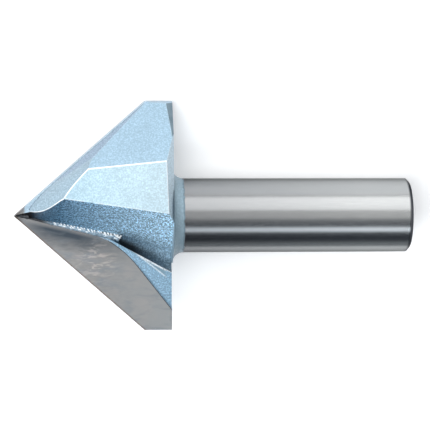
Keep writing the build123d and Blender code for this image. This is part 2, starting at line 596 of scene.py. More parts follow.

# %% [markdown]
# ## Dry enamel
#
# The enamel went on dry, so it is grainy: grains of about 0.3 mm, paler on top. It lies thick and
# pale on the broad flats. In the gullets it is thin and dark steel shows between the grains, so there
# the grains stand out, and the gullets' darker tones are also painted shade. A spray could be painted
# on by hand, but a noise of the grain's real size gives the same look all over. Each facet's tone and
# its share of grain come from the mesh.

# %% Enamel colour
GRAIN_SIZE = 0.27
CLOUD_SIZE = 2.6
GRAIN_NOISE = {"Scale": 1 / GRAIN_SIZE, "Detail": 3, "Roughness": 0.6}
tone = put(tree, "Attribute", attribute_name="tone")
grain = put(tree, "TexNoise", {"Vector": place, **GRAIN_NOISE})
cloud = put(tree, "TexNoise", {"Vector": place, "Scale": 1 / CLOUD_SIZE, "Detail": 3})
speckle = put(
    tree,
    "MapRange",
    {"Value": grain, "From Min": 0.43, "From Max": 0.68, "To Min": 0.5, "To Max": 2.2},
)
blue = put(
    tree,
    "Mix",
    {"Factor": tone.outputs["Alpha"], "A": tone.outputs["Color"], "B": speckle},
    data_type="RGBA",
    blend_type="MULTIPLY",
)
thickness = put(
    tree,
    "MapRange",
    {"Value": cloud, "From Min": 0.3, "From Max": 0.7, "To Min": 0.95, "To Max": 1.03},
)
blue = put(
    tree,
    "Mix",
    {"Factor": 1.0, "A": blue, "B": thickness},
    data_type="RGBA",
    blend_type="MULTIPLY",
)
print("grain of", GRAIN_SIZE, "mm")

# %% [markdown]
# ## The dark hollow
#
# Behind the bead a round hollow runs beside the land. It is painted with shade: nearly black at its
# narrow start, and the dark fades up the gullet floor and towards the back. The same distance beside
# the land's edge serves the hollow and the floor, so no line shows between them.

# %% Shade in the hollow
beside = past_line(tree, apart, out, HOLLOW_ANGLE, LAND_START)
in_gullet = put(tree, "Attribute", attribute_name="gullet").outputs["Fac"]
past_edge = put(tree, "Math", {0: beside, 1: 0.0}, operation="GREATER_THAN")
begun = put(tree, "MapRange", {"Value": along, "From Min": 16.9, "From Max": 18.2})
shade_reach = put(
    tree,
    "MapRange",
    {"Value": along, "From Min": 16, "From Max": HEAD_LENGTH, "To Min": 1.3, "To Max": 3.6},
)
share_of_reach = put(tree, "Math", {0: beside, 1: shade_reach}, operation="DIVIDE")
shaded = put(tree, "MapRange", {"Value": share_of_reach, "From Min": 1.5, "From Max": 0.35})
for limit in (begun, past_edge, in_gullet):
    shaded = put(tree, "Math", {0: shaded, 1: limit}, operation="MULTIPLY")
# Painted shade: how much colour is left in the hollow, least at its start.
left_over = put(
    tree,
    "MapRange",
    {"Value": along, "From Min": 20.5, "From Max": HEAD_LENGTH, "To Min": 0.03, "To Max": 0.4},
)
blue = put(
    tree,
    "Mix",
    {"Factor": shaded, "A": blue, "B": left_over},
    data_type="RGBA",
    blend_type="MULTIPLY",
)
print("hollow shaded from", HOLLOW_START, "mm")

# %% [markdown]
# ## Rubbed ridges with painted highlights
#
# The ridges are rubbed wherever they stand proud, and their pale colour is partly that wear and
# partly painted highlight, stronger in some places than in others. The mesh knows its ridges, so they
# only need to be brightened, and a cloudy noise makes the brightening uneven. The land's edge is
# brightened only where the chips scuff it.

# %% Brighten the ridges
# Near-white for the ridges and the scuff's borders: partly worn paint, partly painted highlight.
WORN_AND_HIGHLIT = linear("#F4F8FA")
LAND_EDGE_WIDTH = 0.5
ridge = put(tree, "Attribute", attribute_name="ridge")
wear = put(
    tree,
    "MapRange",
    {"Value": cloud, "From Min": 0.3, "From Max": 0.5, "To Min": 0.6, "To Max": 0.95},
)
from_land = put(tree, "Math", {0: beside}, operation="ABSOLUTE")
off_land_edge = put(tree, "Math", {0: from_land, 1: LAND_EDGE_WIDTH}, operation="GREATER_THAN")
scuffed_edge = put(
    tree, "MapRange", {"Value": along, "From Min": 19.6, "From Max": 21.2, "To Min": 0.15}
)
rubbed_here = put(tree, "Math", {0: off_land_edge, 1: scuffed_edge}, operation="MAXIMUM")
wear_and_highlight = put(tree, "Math", {0: ridge.outputs["Fac"], 1: wear}, operation="MULTIPLY")
wear_and_highlight = put(tree, "Math", {0: wear_and_highlight, 1: rubbed_here}, operation="MULTIPLY")
blue = put(tree, "Mix", {"Factor": wear_and_highlight, "A": blue, "B": WORN_AND_HIGHLIT}, data_type="RGBA")
print("ridges rubbed")

# %% [markdown]
# ## Burnt start of the gullet
#
# Behind the tip the gullet is darkened with painted shade, and its narrow start by the axis is
# painted near-black as shadow. At the other end the paint runs out in a thin dark rim. Each mark is a
# colour laid over the enamel where the place on the bit says so, which is simpler to shift than a
# painted mask.

# %% Painted shade in the gullet, the dark tip, and the end of the paint
# Painted shade: the gullet drawn darker towards the tip.
dim = put(tree, "MapRange", {"Value": along, "From Min": 10.5, "From Max": 4.5, "To Max": 0.6})
unridged = put(tree, "Math", {0: in_gullet, 1: wear_and_highlight}, operation="SUBTRACT", use_clamp=True)
dim = put(tree, "Math", {0: dim, 1: unridged}, operation="MULTIPLY")
blue = put(tree, "Mix", {"Factor": dim, "A": blue, "B": linear("#2B3D4F")}, data_type="RGBA")
# Painted shadow: the gullet's narrow start by the axis drawn near-black.
burnt = put(tree, "MapRange", {"Value": along, "From Min": 5.2, "From Max": 3.0})
shadow_near_axis = put(tree, "MapRange", {"Value": out, "From Min": 0.9, "From Max": 0.5})
for limit in (shadow_near_axis, in_gullet):
    burnt = put(tree, "Math", {0: burnt, 1: limit}, operation="MULTIPLY")
blue = put(tree, "Mix", {"Factor": burnt, "A": blue, "B": linear("#14161A")}, data_type="RGBA")
very_tip = put(tree, "MapRange", {"Value": along, "From Min": 2.2, "From Max": 1.7})
blue = put(tree, "Mix", {"Factor": very_tip, "A": blue, "B": linear("#2A2420")}, data_type="RGBA")
rim = put(tree, "MapRange", {"Value": to_edge, "From Min": 0.3, "From Max": 0.1, "To Max": 0.6})
blue = put(tree, "Mix", {"Factor": rim, "A": blue, "B": linear("#465A66")}, data_type="RGBA")
print("heat marks made")

# %% [markdown]
# ## The scuffed corner of the land
#
# Chips leave over the land's inner corner. They wore the spray off it in a long thin triangle, grey
# in the middle with bright borders: the edge of the hollow and a fine line that drifts away from it.
# The bright borders are partly that wear and partly painted highlight. Both borders are straight, so
# two distances from slanting lines make the whole mark.

# %% Where the land is scuffed
SCUFF_FROM = 20.8
SCUFF_TO = 26.2
SCUFF_ANGLE = radians(38)
scuff_start = (SCUFF_FROM, LAND_START[1] + (SCUFF_FROM - HOLLOW_START) * tan(HOLLOW_ANGLE))
past_scuff = past_line(tree, apart, out, SCUFF_ANGLE, scuff_start)
scuff_begun = put(
    tree, "MapRange", {"Value": along, "From Min": SCUFF_FROM, "From Max": SCUFF_FROM + 0.9}
)
scuff_ending = put(
    tree, "MapRange", {"Value": along, "From Min": SCUFF_TO, "From Max": SCUFF_TO - 0.5}
)
on_land = put(tree, "Math", {0: beside, 1: 0.0}, operation="LESS_THAN")
on_land = put(tree, "Math", {0: on_land, 1: in_gullet}, operation="MULTIPLY")
scuff = on_land
for limit in (scuff_begun, scuff_ending):
    scuff = put(tree, "Math", {0: scuff, 1: limit}, operation="MULTIPLY")
print("scuff from", SCUFF_FROM, "to", SCUFF_TO, "mm")

# %% Grey middle and bright borders of the scuff
within = put(
    tree, "MapRange", {"Value": past_scuff, "From Min": -0.05, "From Max": 0.05, "To Max": 0.75}
)
greyed_land = put(tree, "Math", {0: scuff, 1: within}, operation="MULTIPLY")
blue = put(
    tree, "Mix", {"Factor": greyed_land, "A": blue, "B": linear("#6F8997")}, data_type="RGBA"
)
# The bright borders: partly wear, partly painted highlight.
line_gap = put(tree, "Math", {0: past_scuff}, operation="ABSOLUTE")
fine_line = put(
    tree, "MapRange", {"Value": line_gap, "From Min": 0.16, "From Max": 0.06, "To Max": 0.5}
)
edge_line = put(
    tree, "MapRange", {"Value": beside, "From Min": -0.34, "From Max": -0.14, "To Max": 0.9}
)
bright_lines = put(tree, "Math", {0: fine_line, 1: edge_line}, operation="MAXIMUM")
chipped = put(
    tree, "MapRange", {"Value": grain, "From Min": 0.4, "From Max": 0.55, "To Min": 0.35}
)
for limit in (chipped, scuff):
    bright_lines = put(tree, "Math", {0: bright_lines, 1: limit}, operation="MULTIPLY")
blue = put(tree, "Mix", {"Factor": bright_lines, "A": blue, "B": WORN_AND_HIGHLIT}, data_type="RGBA")
print("land scuffed")

# %% [markdown]
# ## The dark border beside the plate
#
# Where the land meets the plate, burnt flux and the shade of the plate's edge leave a soft dark
# border. It follows the straight back part of the plate's inner edge, which is one more slanting
# line, so no new mask is needed.

# %% Dark border beside the plate
PLATE_CORNER = (27.0, 16.3)
PLATE_ANGLE = radians(51.8)
BRAZE_GAP = 0.12
BORDER_WIDTH = 0.55
past_plate = past_line(tree, apart, out, PLATE_ANGLE, PLATE_CORNER)
border = put(
    tree,
    "MapRange",
    {
        "Value": past_plate,
        "From Min": BRAZE_GAP,
        "From Max": BORDER_WIDTH,
        "To Min": 0.7,
        "To Max": 0.0,
    },
)
border_begun = put(tree, "MapRange", {"Value": along, "From Min": 19.5, "From Max": 22})
for limit in (border_begun, on_land):
    border = put(tree, "Math", {0: border, 1: limit}, operation="MULTIPLY")
blue = put(tree, "Mix", {"Factor": border, "A": blue, "B": linear("#3A5264")}, data_type="RGBA")
print("border", BORDER_WIDTH, "mm wide")

# %% [markdown]
# ## Ground steel
#
# The shank was ground between centres, which leaves fine lines round it. They smear every reflection
# along the bit, so what the eye sees is a soft polish with faint streaks that run lengthwise. Rings
# in a bump could smear the light as the real ones do, but they are far too fine to show here and
# would only sparkle. So the streaks are painted reflection, drawn 0.12 mm wide. The shank is drawn
# darker next to the head, fading along it, and its end chamfer is drawn dark.

# %% Steel colour
STREAK_SIZE = 0.12
OVERALL_LENGTH = 67.8
CHAMFER = (OVERALL_LENGTH - 0.75, OVERALL_LENGTH - 0.45)
squeezed = put(tree, "Mapping", {"Vector": place, "Scale": (0.06, 1, 1)})
streaks = put(tree, "TexNoise", {"Vector": squeezed, "Scale": 1 / STREAK_SIZE, "Detail": 3})
# Painted reflection: lengthwise streaks between two greys.
steel = put(
    tree, "Mix", {"Factor": streaks, "A": linear("#9FA1A2"), "B": linear("#B0B2B2")}, data_type="RGBA"
)
# The shank drawn darker next to the head, fading along it.
greyed = put(
    tree,
    "MapRange",
    {"Value": along, "From Min": 29, "From Max": 60, "To Min": 0.5, "To Max": 0.0},
)
steel = put(tree, "Mix", {"Factor": greyed, "A": steel, "B": linear("#6A6C70")}, data_type="RGBA")
# The end chamfer drawn dark.
scale = put(tree, "MapRange", {"Value": along, "From Min": CHAMFER[0], "From Max": CHAMFER[1]})
steel = put(tree, "Mix", {"Factor": scale, "A": steel, "B": linear("#4A4C50")}, data_type="RGBA")
print("streaks of", STREAK_SIZE, "mm")

# %% [markdown]
# ## Turned end face
#
# The end face was faced off on the lathe, and the tool left rings as far apart as it moved on with
# each turn, about 0.16 mm. A wave pattern would make them too even, so a noise is read by the
# distance from the axis alone.

# %% Rings on the end face
END_WITHIN = 0.02
RING_SIZE = 0.16
across_end = put(tree, "CombineXYZ", {"Y": apart.outputs["Y"], "Z": apart.outputs["Z"]})
from_axis = put(tree, "VectorMath", {0: across_end}, operation="LENGTH").outputs["Value"]
ring_place = put(tree, "CombineXYZ", {"X": from_axis})
rings = put(tree, "TexNoise", {"Vector": ring_place, "Scale": 1 / RING_SIZE, "Detail": 2})
turned = put(
    tree, "Mix", {"Factor": rings, "A": linear("#7F8284"), "B": linear("#A9ABAC")}, data_type="RGBA"
)
on_end = put(tree, "Math", {0: along, 1: OVERALL_LENGTH - END_WITHIN}, operation="GREATER_THAN")
steel = put(tree, "Mix", {"Factor": on_end, "A": steel, "B": turned}, data_type="RGBA")
print("rings of", RING_SIZE, "mm")

# %% [markdown]
# ## One material for the whole body
#
# The paint mask now chooses between the two finishes. Bare steel is a metal with a soft polish.
# Dry enamel is nearly matt, and its grains stand up as a fine bump that sparkles a little. A grey
# tint on the shine takes the glare off both where they are seen edge-on.

# %% Put the body's finish together
colour = put(tree, "Mix", {"Factor": painted, "A": steel, "B": blue}, data_type="RGBA")
metal = put(tree, "MapRange", {"Value": painted, "To Min": 1.0, "To Max": 0.15})
steel_rough = put(
    tree,
    "MapRange",
    {"Value": streaks, "From Min": 0.3, "From Max": 0.7, "To Min": 0.2, "To Max": 0.25},
)
paint_rough = put(
    tree,
    "MapRange",
    {"Value": grain, "From Min": 0.3, "From Max": 0.7, "To Min": 0.5, "To Max": 0.32},
)
rough = put(tree, "Mix", {"Factor": painted, "A": steel_rough, "B": paint_rough})
height = put(tree, "Math", {0: grain, 1: painted}, operation="MULTIPLY")
bump = put(tree, "Bump", {"Height": height, "Strength": 0.45, "Distance": 0.04 * MM})
feed_shader(
    tree,
    {
        "Base Color": colour,
        "Metallic": metal,
        "Roughness": rough,
        "Normal": bump,
        "Specular Tint": linear("#A0A0A0"),
    },
)
body.data.materials.clear()
body.data.materials.append(body_finish)
print("made", body_finish.name)

# %% [markdown]
# ## Ground carbide
#
# Sintered tungsten carbide is a dull grey metal. These plates were ground on a diamond wheel, which
# leaves faint lines along the bit, drawn 0.3 mm wide because the real ones are too fine to show.
# To the eye it is a soft satin grey, a little bluish in places and warmer in others, so three
# noises of different sizes shift one grey.

# %% Carbide colour
GRIND_SIZE = 0.3
STAIN_SIZE = 1.1
PATCH_SIZE = 4
carbide_finish, tree, place, apart, out = start_finish("ground_tungsten_carbide")
along = apart.outputs["X"]
squeezed = put(tree, "Mapping", {"Vector": place, "Scale": (0.3, 1, 1)})
lines = put(tree, "TexNoise", {"Vector": squeezed, "Scale": 1 / GRIND_SIZE, "Detail": 2})
stains = put(
    tree,
    "TexNoise",
    {"Vector": squeezed, "Scale": 1 / STAIN_SIZE, "Detail": 3, "Distortion": 0.6},
)
patches = put(tree, "TexNoise", {"Vector": place, "Scale": 1 / PATCH_SIZE, "Detail": 2})
line_share = put(tree, "MapRange", {"Value": lines, "From Min": 0.3, "From Max": 0.7})
to_back = put(tree, "MapRange", {"Value": along, "From Min": 14, "From Max": 26, "To Max": 0.8})
bluish = put(tree, "MapRange", {"Value": stains, "From Min": 0.5, "From Max": 0.7, "To Max": 0.4})
warm = put(tree, "MapRange", {"Value": patches, "From Min": 0.5, "From Max": 0.7, "To Max": 0.22})
grey = linear("#737475")
tints = (
    (line_share, "#7E7F7F"),
    (to_back, "#878B8D"),
    (bluish, "#626D78"),
    (warm, "#938D89"),
)
for share, tint in tints:
    grey = put(tree, "Mix", {"Factor": share, "A": grey, "B": linear(tint)}, data_type="RGBA")
print("made", carbide_finish.name)

# %% [markdown]
# ## Smoke and a heat spot
#
# The brazing flame smoked each plate beside its seam, most of all a little behind the tip and a
# little off the bead. In the middle of the plate the heat left a spot of pinkish swirls. Both are
# told by distance, from the seam's slanting line and from the spot's middle, and made ragged by
# the stains' noise.

# %% Smoke beside the seam
from_seam = past_line(tree, apart, out, ROOT_ANGLE, inwards=False)
ragged_seam = put(tree, "Math", {0: stains, 1: 3.0, 2: from_seam}, operation="MULTIPLY_ADD")
smoked = put(
    tree,
    "MapRange",
    {"Value": ragged_seam, "From Min": 2.6, "From Max": 5.6, "To Min": 0.95, "To Max": 0.0},
)
not_back = put(tree, "MapRange", {"Value": along, "From Min": 22, "From Max": 11})
smoke_begun = put(
    tree, "MapRange", {"Value": along, "From Min": 2.0, "From Max": 5.5, "To Min": 0.45}
)
off_bead = put(
    tree, "MapRange", {"Value": from_seam, "From Min": 0.2, "From Max": 0.8, "To Min": 0.35}
)
for limit in (not_back, smoke_begun, off_bead):
    smoked = put(tree, "Math", {0: smoked, 1: limit}, operation="MULTIPLY")
grey = put(tree, "Mix", {"Factor": smoked, "A": grey, "B": linear("#343D46")}, data_type="RGBA")
print("smoked beside the seam")

# %% Heat spot
HEAT_SPOT = (14.0, 8.0, 0)
SWIRL_SIZE = 0.55
flat_place = put(tree, "CombineXYZ", {"X": along, "Y": out})
spot_distance = put(tree, "VectorMath", {0: flat_place, 1: HEAT_SPOT}, operation="DISTANCE")
near_spot = put(tree, "MapRange", {"Value": spot_distance, "From Min": 4.4, "From Max": 1.0})
swirls = put(
    tree,
    "TexNoise",
    {"Vector": squeezed, "Scale": 1 / SWIRL_SIZE, "Detail": 3, "Distortion": 1.0},
)
swirl = put(tree, "MapRange", {"Value": swirls, "From Min": 0.5, "From Max": 0.62, "To Max": 0.5})
tinted = put(tree, "Math", {0: near_spot, 1: swirl}, operation="MULTIPLY")
grey = put(tree, "Mix", {"Factor": tinted, "A": grey, "B": linear("#ADA6A2")}, data_type="RGBA")
print("heat spot at", HEAT_SPOT[:2], "mm")

# %% [markdown]
# ## The plates' edges
#
# The grinding ran a fine brown line along the cutting edge and the tip is burnt brown. Behind the
# edge the plate's outer side caught some of the head's spray. The plate is one CAD mesh that may
# not be changed, so the place on the bit tells its sides apart: how far inwards of the cutting
# edge a point lies, and how deep below the rake face.

# %% Brown edge and burnt tip
past_cutting_edge = past_line(tree, apart, out, HALF_ANGLE)
brown = put(
    tree,
    "MapRange",
    {"Value": past_cutting_edge, "From Min": 0.1, "From Max": 0.28, "To Min": 0.8, "To Max": 0.0},
)
grey = put(tree, "Mix", {"Factor": brown, "A": grey, "B": linear("#5E5048")}, data_type="RGBA")
burnt = put(tree, "MapRange", {"Value": along, "From Min": 1.8, "From Max": 0.3, "To Max": 0.85})
grey = put(tree, "Mix", {"Factor": burnt, "A": grey, "B": linear("#33291F")}, data_type="RGBA")
print("edge browned")

# %% Overspray behind the cutting edge
OVERSPRAY_RAGGED = 0.5
OVERSPRAY_SIZE = 0.6
side_sign = put(tree, "Math", {0: apart.outputs["Y"]}, operation="SIGN")
depth = put(tree, "Math", {0: apart.outputs["Z"], 1: side_sign}, operation="MULTIPLY")
ragged = put(tree, "TexNoise", {"Vector": place, "Scale": 1 / OVERSPRAY_SIZE, "Detail": 2})
ragged_depth = put(
    tree, "Math", {0: ragged, 1: OVERSPRAY_RAGGED, 2: depth}, operation="MULTIPLY_ADD"
)
ragged_along = put(
    tree, "Math", {0: ragged, 1: OVERSPRAY_RAGGED, 2: along}, operation="MULTIPLY_ADD"
)
deep = put(tree, "MapRange", {"Value": ragged_depth, "From Min": 0.55, "From Max": 0.7})
behind_tip = put(tree, "MapRange", {"Value": ragged_along, "From Min": 2.1, "From Max": 2.5})
sprayed = put(tree, "Math", {0: deep, 1: behind_tip}, operation="MULTIPLY")
grain = put(tree, "TexNoise", {"Vector": place, **GRAIN_NOISE})
pale = put(tree, "MapRange", {"Value": grain, "From Min": 0.4, "From Max": 0.6})
spray = put(
    tree, "Mix", {"Factor": pale, "A": linear("#8BA3B5"), "B": linear("#A2BACA")}, data_type="RGBA"
)
grey = put(tree, "Mix", {"Factor": sprayed, "A": grey, "B": spray}, data_type="RGBA")
print("plates' sides sprayed")

# %% [markdown]
# ## One material for both plates
#
# Ground carbide is a metal of middling roughness, and its lines make the shine a little uneven.
# Where spray lies on it, it is paint and no metal. The CAD meshes are already right, so they only
# get the material.

# %% Put the carbide's finish together
metal = put(tree, "MapRange", {"Value": sprayed, "To Min": 1.0, "To Max": 0.1})
rough = put(
    tree,
    "MapRange",
    {"Value": lines, "From Min": 0.3, "From Max": 0.7, "To Min": 0.34, "To Max": 0.46},
)
bump = put(tree, "Bump", {"Height": lines, "Strength": 0.25, "Distance": 0.01 * MM})
feed_shader(tree, {"Base Color": grey, "Metallic": metal, "Roughness": rough, "Normal": bump})
for side in "ab":
    blade = nodes["carbide_blade_" + side]
    blade.data.materials.clear()
    blade.data.materials.append(carbide_finish)
print("made", carbide_finish.name)

# %% [markdown]
# ## Brazing alloy
#
# Silver brazing alloy holds each plate and stands out as a lumpy bead along its inner edge. The spray
# dulled the bead's bar to a blue grey, but the teeth and drops that stood clear stayed bright, and so
# did some lumps; their near-white is partly bare alloy and partly painted highlight. Away from the
# bead only a dark line of burnt flux shows round the plate, and what lies open behind the plate is
# sprayed like the steel.

# %% Braze colour
LUMP_SIZE = 0.5
braze_finish, tree, place, apart, out = start_finish("silver_braze_with_overspray")
along = apart.outputs["X"]
lumps = put(tree, "TexNoise", {"Vector": place, "Scale": 1 / LUMP_SIZE, "Detail": 3})
bare = put(tree, "Attribute", attribute_name="bare")
# Near-white on lump tops, teeth and drops: partly bare alloy, partly painted highlight.
tops = put(tree, "MapRange", {"Value": lumps, "From Min": 0.52, "From Max": 0.66, "To Max": 0.7})
bright = put(tree, "Math", {0: bare.outputs["Fac"], 1: tops}, operation="MAXIMUM")
colour = put(
    tree, "Mix", {"Factor": bright, "A": linear("#7C93A4"), "B": linear("#F1F6F8")}, data_type="RGBA"
)
from_seam = past_line(tree, apart, out, ROOT_ANGLE, inwards=False)
flux = put(tree, "MapRange", {"Value": from_seam, "From Min": 0.3, "From Max": 0.6})
burnt = put(tree, "MapRange", {"Value": along, "From Min": 7.0, "From Max": 5.0})
dark = put(tree, "Math", {0: flux, 1: burnt}, operation="MAXIMUM")
colour = put(tree, "Mix", {"Factor": dark, "A": colour, "B": linear("#2A2E33")}, data_type="RGBA")
print("lumps of", LUMP_SIZE, "mm")

# %% Put the braze's finish together
FLAT_ON = 0.7
BEHIND_PLATE = 1.5
normal = put(tree, "NewGeometry").outputs["Normal"]
facing = put(tree, "VectorMath", {0: normal, 1: bit_z}, operation="DOT_PRODUCT")
facing = put(tree, "Math", {0: facing}, operation="ABSOLUTE")
flat_on = put(tree, "Math", {0: facing, 1: FLAT_ON}, operation="GREATER_THAN")
depth = put(tree, "Math", {0: apart.outputs["Z"]}, operation="ABSOLUTE")
behind_plate = put(tree, "Math", {0: depth, 1: BEHIND_PLATE}, operation="GREATER_THAN")
sprayed = put(tree, "Math", {0: flat_on, 1: behind_plate}, operation="MULTIPLY")
colour = put(tree, "Mix", {"Factor": sprayed, "A": colour, "B": linear("#9DB9CF")}, data_type="RGBA")
metal = put(
    tree,
    "MapRange",
    {"Value": lumps, "From Min": 0.4, "From Max": 0.65, "To Min": 0.1, "To Max": 0.5},
)
rough = put(
    tree,
    "MapRange",
    {"Value": lumps, "From Min": 0.4, "From Max": 0.65, "To Min": 0.45, "To Max": 0.25},
)
feed_shader(tree, {"Base Color": colour, "Metallic": metal, "Roughness": rough})
print("made", braze_finish.name)

# %% [markdown]
# ## The lumpy bead
#
# The CAD braze is a thin layer under the plate with a plain tapered bead. The real bead is uneven,
# and along its inner side it crept up the milling marks of the gullet floor in small teeth. A
# metaball string could give the same lumps, but it would be heavy. So a tapered bar is laid along
# the seam, cut into short lengths and pushed about by a cloudy texture. It is modelled in the
# bit's own frame for blade a, and placed as it is or half a turn round for blade b.

# %% Helpers for the bead
BEAD_FROM = 5.4
BEAD_TO = 17.9
BEAD_RADII = (0.14, 0.5)
# How far the bar's middle lies inwards of the seam and above the rake face, in millimetres.
BEAD_ASIDE = (0.05, 0.1)
bit_place = Matrix.Translation(tip) @ bit_axes.to_4x4()


def on_seam(x, inwards, lift):
    """A point beside blade a's seam, in the bit's own frame."""
    return Vector((x, ROOT_OFFSET - x * tan(ROOT_ANGLE) + inwards, lift)) * MM


def place_piece(piece, half_turned):
    """Move a piece modelled in the bit's own frame to where the bit lies."""
    turn_over = Matrix.Rotation(pi if half_turned else 0, 4, "X")
    piece.matrix_world = bit_place @ turn_over @ piece.matrix_world
    bpy.ops.object.transform_apply(location=True, rotation=True, scale=True)


def push_about(piece, size_mm, strength_mm):
    """Move the piece's points in and out by a cloudy texture."""
    clouds = bpy.data.textures.new(piece.name + "_clouds", "CLOUDS")
    clouds.noise_scale = size_mm * MM
    push = piece.modifiers.new("lumps", "DISPLACE")
    push.texture = clouds
    push.texture_coords = "GLOBAL"
    push.strength = strength_mm * MM
    push.mid_level = 0.5
    bpy.ops.object.modifier_apply(modifier=push.name)


print("bead from", BEAD_FROM, "to", BEAD_TO, "mm")


# %% Model the bead's bar
BAR_CUTS = 60
BAR_SIDES = 14
# The size of the lumps, and how far they push the surface, in millimetres.
FINE_LUMPS = (0.4, 1.0)
BROAD_LUMPS = (1.8, 0.4)


def model_bar(side):
    """An uneven tapered bar along blade a's seam, or half a turn round along blade b's."""
    length = (BEAD_TO - BEAD_FROM) / cos(ROOT_ANGLE) * MM
    front_radius, back_radius = BEAD_RADII
    bpy.ops.object.select_all(action="DESELECT")
    bpy.ops.mesh.primitive_cone_add(
        vertices=BAR_SIDES,
        radius1=front_radius * MM,
        radius2=back_radius * MM,
        depth=length,
        location=on_seam((BEAD_FROM + BEAD_TO) / 2, *BEAD_ASIDE),
        rotation=(0, pi / 2, -ROOT_ANGLE),
    )
    bar = bpy.context.object
    bar.name = "braze_bead_" + side
    bpy.ops.object.mode_set(mode="EDIT")
    bpy.ops.mesh.select_all(action="DESELECT")
    mesh = bmesh.from_edit_mesh(bar.data)
    for edge in mesh.edges:
        edge.select = abs(edge.verts[0].co.z - edge.verts[1].co.z) > length / 2
    bmesh.update_edit_mesh(bar.data)
    bpy.ops.mesh.subdivide(number_cuts=BAR_CUTS)
    bpy.ops.object.mode_set(mode="OBJECT")
    place_piece(bar, side == "b")
    push_about(bar, *FINE_LUMPS)
    push_about(bar, *BROAD_LUMPS)
    bpy.ops.object.shade_smooth()
    return bar


beads = {side: model_bar(side) for side in "ab"}
print("bars", [bead.name for bead in beads.values()])

# %% [markdown]
# ## The teeth
#
# Each tooth is a small lump that leans forwards over the milling marks, longer the further back it
# stands. An array modifier would make them all alike, so each gets its own length and lean from a
# sine that never falls into step with the spacing. They stood clear of the spray, so each is
# marked as bare.

# %% Model the teeth
TEETH = 21
TEETH_FROM = 6.4
TEETH_TO = 17.7
TOOTH_LEAN = radians(28)
# Radii in millimetres, along the bit, across it and upwards, at the front and at the back.
SMALL_TOOTH = (0.1, 0.3, 0.15)
LARGE_TOOTH = (0.17, 0.75, 0.3)
# How much the lengths and leans swing from tooth to tooth, and how fast.
LENGTH_SWING, LENGTH_STEP = 0.35, 2.4
LEAN_SWING, LEAN_STEP = 0.5, 3.7
TOOTH_CLEAR = 1.2


def keep_bare(piece):
    """Mark a lump that stood clear of the spray."""
    bare = piece.data.attributes.new("bare", "FLOAT", "FACE")
    bare.data.foreach_set("value", [1.0] * len(bare.data))


def model_tooth(step, side):
    """A small leaning lump, longer the further back it stands, each a little unlike the last."""
    share = step / (TEETH - 1)
    sizes = [small + (large - small) * share for small, large in zip(SMALL_TOOTH, LARGE_TOOTH)]
    sizes[1] *= 1 + LENGTH_SWING * sin(LENGTH_STEP * step)
    lean = TOOTH_LEAN * (1 + LEAN_SWING * sin(LEAN_STEP * step))
    radius = BEAD_RADII[0] + (BEAD_RADII[1] - BEAD_RADII[0]) * share
    x = TEETH_FROM + (TEETH_TO - TEETH_FROM) * share
    bpy.ops.mesh.primitive_ico_sphere_add(
        subdivisions=2,
        radius=MM,
        location=on_seam(x, BEAD_ASIDE[0] + radius * TOOTH_CLEAR, BEAD_ASIDE[1] + radius),
        rotation=(0, 0, lean),
        scale=sizes,
    )
    tooth = bpy.context.object
    keep_bare(tooth)
    place_piece(tooth, side == "b")
    bpy.ops.object.shade_smooth()
    return tooth


teeth = {side: [model_tooth(step, side) for step in range(TEETH)] for side in "ab"}
print(TEETH, "teeth on each bead")

# %% [markdown]
# ## Both ends of the bead
#
# At its back end the alloy stood up in a few round drops where it ran out. Behind the very tip the
# two plates nearly meet, and a little burnt alloy fills the space between them. A slim cone is
# enough there, because only its side shows between the plates.

# %% Model the drops and the filled tip
# For each drop: its distance from the tip, how far inwards of the seam it lies, and its radius.
DROPS = ((17.1, 0.95, 0.24), (17.6, 0.6, 0.3), (18.0, 0.2, 0.32), (18.3, 0.55, 0.2))
DROP_LIFT = 0.3
TIP_FILL_FROM = 0.25
TIP_FILL_TO = 2.6
TIP_FILL_RADII = (0.05, 0.62)
TIP_FILL_SIDES = 16


def model_drop(x, inwards, radius, side):
    """A round drop of alloy at the back end of the bead."""
    bpy.ops.mesh.primitive_ico_sphere_add(
        subdivisions=2, radius=radius * MM, location=on_seam(x, inwards, DROP_LIFT)
    )
    drop = bpy.context.object
    keep_bare(drop)
    place_piece(drop, side == "b")
    bpy.ops.object.shade_smooth()
    return drop


def model_tip_fill():
    """A slim cone of burnt alloy between the plates, just behind the tip."""
    front_radius, back_radius = TIP_FILL_RADII
    bpy.ops.mesh.primitive_cone_add(
        vertices=TIP_FILL_SIDES,
        radius1=front_radius * MM,
        radius2=back_radius * MM,
        depth=(TIP_FILL_TO - TIP_FILL_FROM) * MM,
        location=((TIP_FILL_FROM + TIP_FILL_TO) / 2 * MM, 0, 0),
        rotation=(0, pi / 2, 0),
    )
    fill = bpy.context.object
    place_piece(fill, half_turned=False)
    return fill


ends = {side: [model_drop(*drop, side) for drop in DROPS] for side in "ab"}
ends["a"].append(model_tip_fill())
print(len(DROPS), "drops on each bead")

# %% [markdown]
# ## One braze for each plate
#
# The CAD layer under the plate is right, so a merged copy of it is joined to the bar, the teeth and
# the drops. They could stay separate pieces, but on the real bit the alloy is one run of metal, and
# as one piece it stands for its node alone.

# %% Join the beads
for side, bead in beads.items():
    layer = own_copy("braze_seam_" + side, "braze_layer_" + side)
    bpy.ops.object.select_all(action="DESELECT")
    for piece in teeth[side] + ends[side] + [layer, bead]:
        piece.select_set(True)
    bpy.context.view_layer.objects.active = bead
    bpy.ops.object.join()
    bead.data.materials.clear()
    bead.data.materials.append(braze_finish)
    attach(bead, "root")
    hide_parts("braze_seam_" + side)
    print(bead.name, len(bead.data.polygons), "faces")

# %% [markdown]
# ## Floor
#
# A plain white bench top. A brighter lamp would whiten it, but it would bleach the bit too. So it
# glows a little for the camera and in the metal's reflections only, and it still takes the bit's
# soft shadow.

